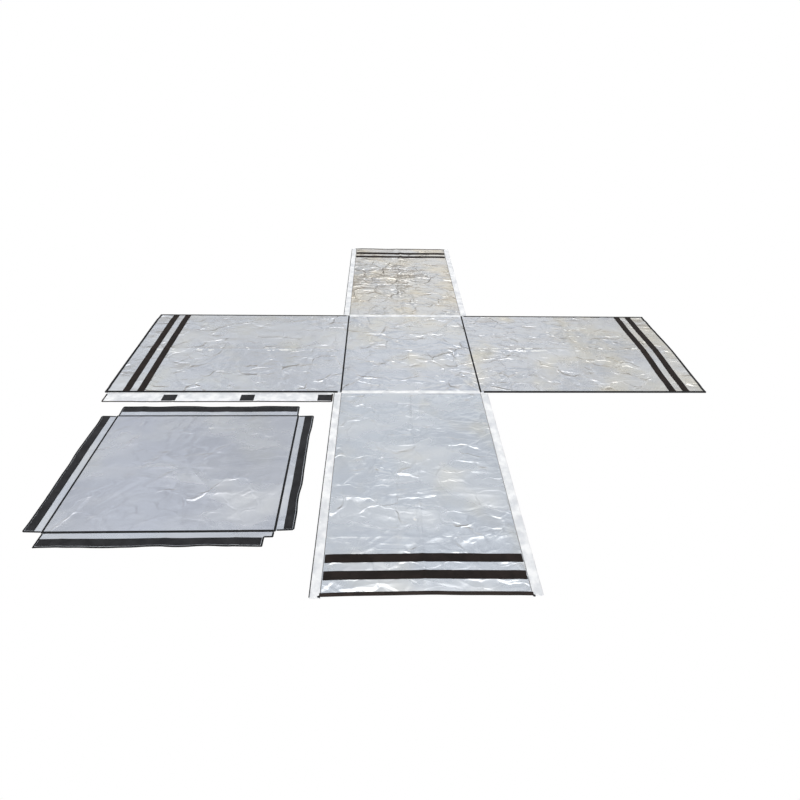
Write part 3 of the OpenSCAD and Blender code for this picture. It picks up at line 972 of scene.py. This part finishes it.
SHEET_PITCH = 8 * MM
FILM_PITCH = {"front_wall": 6 * MM, "lid": 7 * MM, "base": 7 * MM}
UNDER_PITCH = 13 * MM
FOAM_PITCH = 40 * MM
SKIN = 0.4 * MM

# The foam's depth below the panel's top, its height above the underside, and its least
# thickness
FOAM_DEPTH = 1.4 * MM
FOAM_CLEAR = 1.2 * MM
FOAM_LEAST = 0.3 * MM


def build_panel(panel, film_material):
    name = panel.name
    points = grid(panel.patch, FILM_PITCH.get(name, SHEET_PITCH), panel.wander)
    top = panel.top(*points)
    stand_in(f"{name}_{panel.upper}_film", name, points, top, top - SKIN, film_material)
    points = grid(panel.patch, UNDER_PITCH, panel.wander)
    under = panel.under(*points)
    stand_in(f"{name}_{panel.lower}_film", name, points, under + SKIN, under, FOIL["outer"])
    points = grid(panel.patch.inset(1.0 * MM), FOAM_PITCH, panel.wander)
    top, under = panel.top(*points) - FOAM_DEPTH, panel.under(*points) + FOAM_CLEAR
    stand_in(f"{name}_foam_core", name, points, np.maximum(top, under + FOAM_LEAST), under, FOAM)


# A tape's depth in the film, a stitch of the sewing thread, and its place on the tape's
# flat edge
SUNK = 0.25 * MM
STITCH = 3.6 * MM
STITCH_PITCH = 6 * MM
THREAD = 0.45 * MM
STITCH_INSET = 1.2 * MM

# Faces of one stitch, over three by three points
STITCH_FACES = (
    (0, 1, 4, 3), (3, 4, 7, 6), (1, 2, 5, 4), (4, 5, 8, 7), (0, 3, 5, 2), (3, 6, 8, 5), (0, 2, 1), (6, 7, 8),
)


def tape(node, side, surface, body, material, centre=ORIGIN, piles=0.5):
    """A strip of tape sewn on the cloth: a raised pile between two flat edges."""
    patch = patch_of(node, side, centre)
    low, high = heights(node)
    points = grid(patch, 7 * MM, surface.wander, 2 * MM)
    _, d = patch.local(*points)
    from_edge = (patch.d1 - patch.d0) / 2 - np.abs(d - (patch.d0 + patch.d1) / 2)
    pile = piles * MM * step(from_edge, 2 * MM, 4 * MM) * (1 + 0.4 * noise(*points, 0.02, 71))
    under = surface.top(*points) - SUNK
    stand_in(node, body, points, under + SUNK + (high - low) - piles * MM + pile, under, material)
    sew(node, patch, high - low, surface, body)


def sew(node, patch, thick, surface, body):
    """Thread over the two long edges of a tape: each stitch is a small arched bar."""
    count = int((patch.s1 - patch.s0) / STITCH_PITCH)
    s = np.tile(patch.s0 + STITCH_PITCH * (np.arange(count) + 0.5), 2)
    d = np.repeat((patch.d0 + STITCH_INSET, patch.d1 - STITCH_INSET), count)
    verts = []
    for along in (-1, 0, 1):
        for across in (-1, 0, 1):
            x, y = patch.world(*surface.wander(s + along * STITCH / 2, d + across * THREAD))
            arch = 0.9 * MM * (1 - 0.5 * abs(along)) * (1 - abs(across))
            verts.append(np.stack((x, y, surface.top(x, y) + thick - 0.55 * MM + arch), 1))
    verts = np.stack(verts, 1).reshape(-1, 3)
    faces = [[9 * k + corner for corner in face] for k in range(len(s)) for face in STITCH_FACES]
    piece = new_mesh(f"{node}_stitches", verts, faces, STITCHING)
    outward_faces(piece)
    show(piece, body, SLOTS[node])


def knot(name, place, body, slot, radius=7 * MM):
    """The lump where the end of a binding is turned in and sewn."""
    work = bmesh.new()
    bmesh.ops.create_icosphere(work, subdivisions=3, radius=1)
    work.verts.index_update()
    x, y, z = np.array([vert.co for vert in work.verts]).T
    faces = [[vert.index for vert in face.verts] for face in work.faces]
    work.free()
    size = radius * (1 + 0.22 * noise(x + 2 * z, y - z, 0.7, 91))
    verts = np.stack((x * size, 0.8 * y * size, 0.55 * np.maximum(z, -0.6) * size), 1)
    show(new_mesh(name, verts + place, faces, BLACK), body, slot)


def build_knots():
    """Binding ends at the end walls' corners and beside the base's back corners."""
    for side in ENDS:
        patch = PANELS[side].patch
        for k, s in enumerate((patch.s0 - 7 * MM, patch.s1 + 7 * MM)):
            x, y = patch.world(*PANELS[side].wander(np.float64(s), patch.d1 + 2 * MM))
            knot(f"{side}_wall_binding_knot_{k}", (x, y, 5 * MM), f"{side}_wall", "brown_binding")
    for side in ("left", "right"):
        place = (OUT[side][0] * (SIDE_FOLD + 12 * MM), PANELS[side].patch.s1 + 2.5 * MM, 2.6 * MM)
        knot(f"{side}_wall_binding_knot", place, f"{side}_wall", "binding", 5 * MM)


WALL_LIP = 17 * MM  # width of a wall's binding on the film


def build_wall_binding(side):
    panel = PANELS[side]
    patch = panel.patch
    node = f"{side}_wall_binding"
    section = folded_section(WALL_LIP, 1 * MM, 1.6)
    if side in ENDS:
        corners = [(patch.s0 - 5 * MM, patch.d1), (patch.s1 + 5 * MM, patch.d1)]
        bind(node, panel.name, panel, corners, section, BROWN)
    else:
        corners = three_sides(patch, patch_of(node, side).d0)
        bind(node, panel.name, panel, corners, section, BLACK, 7 * MM)


# ------------ folds of the walls


# The cord in a seam, and how far its tape stands off the cloth
CORD_HALF = 2.6 * MM
CORD_RISE = 2.2 * MM
TAPE_RISE = 0.6 * MM


def build_fold(side):
    """The seam between the base and a wall: tape, cord, and the film on the under side."""
    node, joint = f"base_seam_{side}", f"{side}_wall_fold"
    seam, fold = patch_of(node, side), WALL_FOLD[side]
    base, wall = PANELS["base"], PANELS[side]
    is_end = side in ENDS
    half = seam.s1 + 3 * MM

    def both(d, on_base, on_wall):
        """The base's height before the fold, and the wall's beyond it."""
        share = step(d, fold - 3 * MM, fold + 3 * MM)
        return on_base * (1 - share) + on_wall * share

    patch = seam.cut(s0=-half, s1=half, d1=fold + (10 * MM if is_end else 4 * MM))
    outward = np.unique(np.concatenate((
        np.linspace(patch.d0, fold - 5 * MM, 5),
        fold + np.linspace(-4, 4, 11) * MM,
        np.linspace(fold + 4 * MM, patch.d1, 3),
    )))
    points = grid(patch, 9 * MM, outward=outward)
    _, d = patch.local(*points)
    cloth_top = both(d, base.top(*points), wall.top(*points))
    cord = np.sqrt(np.maximum(0, 1 - ((d - fold) / CORD_HALF) ** 2)) * CORD_RISE
    top = cloth_top + TAPE_RISE + cord + 0.35 * MM * noise(*points, 0.013, 81)
    under = np.minimum(cloth_top, top) - 0.5 * MM
    piece = stand_in(node, None, points, top, under, WHITE_WEAVE if is_end else BLACK)
    bend(piece, joint, OUT[side], 1.5 * MM, 5 * MM)
    patch = seam.cut(s0=-half, s1=half, d0=fold - 9 * MM, d1=fold + 9 * MM)
    points = grid(patch, 14 * MM, outward=fold + np.linspace(-9, 9, 13) * MM)
    _, d = patch.local(*points)
    under = np.minimum(both(d, base.under(*points), wall.under(*points)), 2.0 * MM)
    strip = shell(f"base_fold_{side}_under", *points, under + 0.9 * MM, under, FOIL["outer"])
    bend(show(strip, None, "outer_foil"), joint, OUT[side], 3 * MM, 5 * MM)


# ------------ flaps


def build_corner_flap(name):
    """A corner flap, the cord along its fold, and on the left a thin binding."""
    sheet = CORNER_FLAPS[name]
    end, side = name.split("_")[:2]
    patch = sheet.patch.cut(d0=FLAP_FOLD - 5 * MM)
    points = grid(patch, SHEET_PITCH, straight, 6 * MM, from_fold(patch, FLAP_FOLD + 8 * MM, 7))
    bend(soft_sheet(name, None, sheet, points, WHITE_WEAVE), f"{name}_fold", OUT[side], 0, 8 * MM)
    if side == "left":
        edge = sheet.patch
        corners = [(edge.s0 + 5 * MM, edge.d1), (edge.s1 - 5 * MM, edge.d1)]
        bind(f"{name}_binding", name, sheet, corners, folded_section(4 * MM, 0.8 * MM), BLACK)
    wall = PANELS[end].patch
    s = ACROSS[end][0] * OUT[side][0] * (FLAP_FOLD - 1.5 * MM)
    line = np.linspace(wall.world(s, wall.d0 + 5 * MM), wall.world(s, wall.d1), 140)
    outs = np.tile(OUT[side], (len(line), 1))
    cord = swept(f"{name}_root_cord", line, outs, tube_section(1.1 * MM, 0.3 * MM, 6), sheet, BLACK)
    show(cord, f"{end}_wall", "binding")


def build_closing_flap():
    """The flap that closes the front left corner, its sewn margin and its binding."""
    sheet = CLOSING_FLAP
    node = sheet.name
    patch = sheet.patch.cut(d0=CLOSING_FOLD - 3 * MM)
    points = grid(patch, SHEET_PITCH, sheet.wander, 12 * MM, from_fold(patch, CLOSING_FOLD + 9 * MM, 11))
    piece = soft_sheet(node, None, sheet, points, WHITE_WEAVE)
    bend(piece, f"{node}_fold", OUT["front"], 0, 8 * MM)
    root = patch_of(f"{node}_root", "front")
    root = root.cut(d0=root.d0 - 5 * MM, d1=CLOSING_FOLD)
    soft_sheet(f"{node}_root", "left_wall", sheet, grid(root, 9 * MM, sheet.wander), WHITE_WEAVE)
    corners = three_sides(sheet.patch, sheet.patch.d0 + 6 * MM)
    bind(f"{node}_binding", node, sheet, corners, folded_section(9 * MM, 1 * MM, 1.4), BROWN, 12 * MM)


def patch_row(node, along_s, count=3, length=95 * MM):
    """The separate patches inside one CAD node that holds a row of equal ones."""
    row = patch_of(node, "front")
    low, high = (row.s0, row.s1) if along_s else (row.d0, row.d1)
    pitch = (high - low - length) / (count - 1)
    for i in range(count):
        a = low + i * pitch
        yield row.cut(s0=a, s1=a + length) if along_s else row.cut(d0=a, d1=a + length)


def joined(name, pieces):
    """One piece from several."""
    bpy.ops.object.select_all(action="DESELECT")
    for piece in pieces:
        piece.select_set(True)
    bpy.context.view_layer.objects.active = pieces[0]
    bpy.ops.object.join()
    pieces[0].name = name
    return pieces[0]


def build_patches():
    """The closing flap's patches, and those that they meet outside the front wall."""
    pads = []
    node = "left_closing_flap_patches"
    for patch in patch_row(node, True):
        points = grid(patch, 6 * MM, corner=3 * MM)
        under = CLOSING_FLAP.top(*points) - 0.2 * MM
        pads.append(shell("pad", *points, under + 1.4 * MM, under, HOOK))
    show(joined(f"{node}_soft", pads), "left_closing_flap", SLOTS[node], node)
    pads = []
    node = "front_wall_closure_patches"
    for patch in patch_row(node, False):
        points = grid(patch, SHEET_PITCH, corner=3 * MM)
        top = PANELS["front"].under(*points) + 0.2 * MM
        pads.append(shell("pad", *points, top, np.maximum(top - 1.2 * MM, 0.05 * MM), LOOP))
    show(joined(f"{node}_soft", pads), "front_wall", SLOTS[node], node)


# ------------ lid


def build_lid_seam():
    """The raised seam round the lid, which starts and ends in the middle of one side."""
    lid = PANELS["lid"]
    p = lid.patch
    corners = [(p.s0, 0), (p.s0, p.d1), (p.s1, p.d1), (p.s1, p.d0), (p.s0, p.d0), (p.s0, 0.0)]
    bind("lid_seam_binding", "lid", lid, corners, piping_section(9 * MM, 3 * MM, 2.6 * MM), BLACK, 4 * MM)


def build_skirt(side):
    """A skirt of the lid with its tape and binding. The front one narrows to a band at one
    end, and is joined from two parts."""
    sheet, fold = SKIRTS[side], SKIRT_FOLD[side]
    name, tape_node = sheet.name, f"lid_{side}_hook_tape"
    patch = sheet.patch.cut(d0=fold - 4 * MM)
    outward = from_fold(patch, fold + 9 * MM, 11)
    near = fold + 5 * MM
    if side == "front":
        hook = patch_of(tape_node, side, LID_CENTRE)
        full = patch.cut(s1=hook.s1 + 10 * MM)
        band = patch.cut(d1=hook.d0 - 2 * MM, s0=full.s1 - 12 * MM)
        parts = []
        for part, drop in ((full, 0), (band, 0.15 * MM)):
            rows = outward[outward < part.d1 - 2 * MM]
            points = grid(part, SHEET_PITCH, sheet.wander, 10 * MM, np.append(rows, part.d1))
            top, under = sheet.top(*points) - drop, sheet.under(*points) + drop
            parts.append(shell("part", *points, top, under, FOIL["skirt"]))
        piece = show(joined(f"{name}_soft", parts), None, SLOTS[name], name)
        corners = three_sides(full, near)[:3]
        corners += [(full.s1, band.d1), (band.s1, band.d1), (band.s1, near)]
        radius = 4 * MM
    else:
        points = grid(patch, SHEET_PITCH, sheet.wander, 12 * MM, outward)
        piece = soft_sheet(name, None, sheet, points, FOIL["skirt"])
        corners = three_sides(patch, near)
        radius = 12 * MM
    bend(piece, f"{name}_droop", OUT[side], 0, 7 * MM)
    tape(tape_node, side, sheet, name, HOOK, LID_CENTRE, 0.35)
    section = folded_section(8 * MM, 1 * MM, 1.5)
    bind(f"{name}_binding", name, sheet, corners, section, BLACK, radius, (0, fold))


# ------------ build everything

build_panel(PANELS["base"], FOIL["base"])
build_panel(PANELS["lid"], FOIL["lid"])
for side in SIDES:
    build_panel(PANELS[side], FOIL[side])
    for row in ("upper", "lower"):
        tape(f"{side}_wall_loop_tape_{row}", side, PANELS[side], f"{side}_wall", LOOP)
    build_wall_binding(side)
    build_fold(side)
    build_skirt(side)
for name in CORNER_FLAPS:
    build_corner_flap(name)
build_closing_flap()
build_knots()
build_patches()
build_lid_seam()

# ------------ stage, light, camera


def seen_white(tree, shader):
    """The shader, but plain white wherever the camera sees it directly."""
    ray = add(tree, "ShaderNodeLightPath").outputs["Is Camera Ray"]
    white = add(tree, "ShaderNodeEmission", {"Color": (1, 1, 1, 1), "Strength": 1.0})
    mix = add(tree, "ShaderNodeMixShader", {0: ray, 1: shader, 2: white.outputs[0]})
    return mix.outputs[0]


def stage_floor():
    """A white floor, washed out as in a cut-out picture."""
    half = 14.0
    corners = ((-half, -half), (half, -half), (half, half), (-half, half))
    material, tree, shader = new_material("floor_white")
    feed(tree, shader, {"Base Color": (0.9, 0.9, 0.9, 1), "Roughness": 0.9})
    out = next(node for node in tree.nodes if node.type == "OUTPUT_MATERIAL")
    tree.links.new(seen_white(tree, shader.outputs[0]), out.inputs[0])
    floor = new_mesh("floor", [(x, y, -0.4 * MM) for x, y in corners], [(0, 1, 2, 3)], material)


SKY = (
    (0.00, (0.26, 0.235, 0.21)), (0.16, (0.48, 0.455, 0.42)), (0.34, (0.60, 0.60, 0.59)),
    (0.55, (0.53, 0.56, 0.60)), (0.84, (0.58, 0.61, 0.65)), (0.93, (1.6, 1.6, 1.6)),
)


def light_world():
    """Sky for the film to mirror: warm low down, blue grey higher, patchy, white on top."""
    world = bpy.data.worlds.new("studio")
    bpy.context.scene.world = world
    world.use_nodes = True
    tree = world.node_tree
    tree.nodes.clear()
    way = add(tree, "ShaderNodeTexCoord").outputs["Generated"]
    height = add(tree, "ShaderNodeSeparateXYZ", {"Vector": way}).outputs[2]
    ramp = add(tree, "ShaderNodeValToRGB", {"Fac": height})
    elements = ramp.color_ramp.elements
    while len(elements) < len(SKY):
        elements.new(0.5)
    for element, (position, colour) in zip(elements, SKY, strict=True):
        element.position = position
        element.color = (*colour, 1)
    clouds = texture(tree, way, 5.0, 2.5, 0.6)
    strength = spread(tree, clouds, 0.32, 0.68, 0.68, 1.55)
    sky = add(tree, "ShaderNodeBackground", {"Color": ramp.outputs[0], "Strength": strength})
    out = add(tree, "ShaderNodeOutputWorld")
    tree.links.new(seen_white(tree, sky.outputs[0]), out.inputs[0])


def light_sun():
    data = bpy.data.lights.new("key", "SUN")
    data.energy = 1.1
    data.angle = math.radians(85)
    data.color = (1.0, 0.985, 0.96)
    sun = bpy.data.objects.new("key", data)
    sun.rotation_euler = (math.radians(30), math.radians(18), 0)
    bpy.context.scene.collection.objects.link(sun)


def place_camera():
    """A wide lens at about head height, looking down over the front wall."""
    data = bpy.data.cameras.new("camera")
    data.lens = 24.3
    data.sensor_width = 36.0
    camera = bpy.data.objects.new("camera", data)
    pitch, yaw, roll = math.radians(35.7), math.radians(2.4), math.radians(1.4)
    heading = Matrix.Rotation(-yaw, 4, "Z") @ Matrix.Rotation(math.pi / 2 - pitch, 4, "X")
    camera.matrix_world = (
        Matrix.Translation((-0.21, -3.74, 2.20)) @ heading @ Matrix.Rotation(roll, 4, "Z")
    )
    bpy.context.scene.collection.objects.link(camera)
    bpy.context.scene.camera = camera


stage_floor()
light_world()
light_sun()
place_camera()
bpy.context.scene.view_settings.view_transform = "Standard"
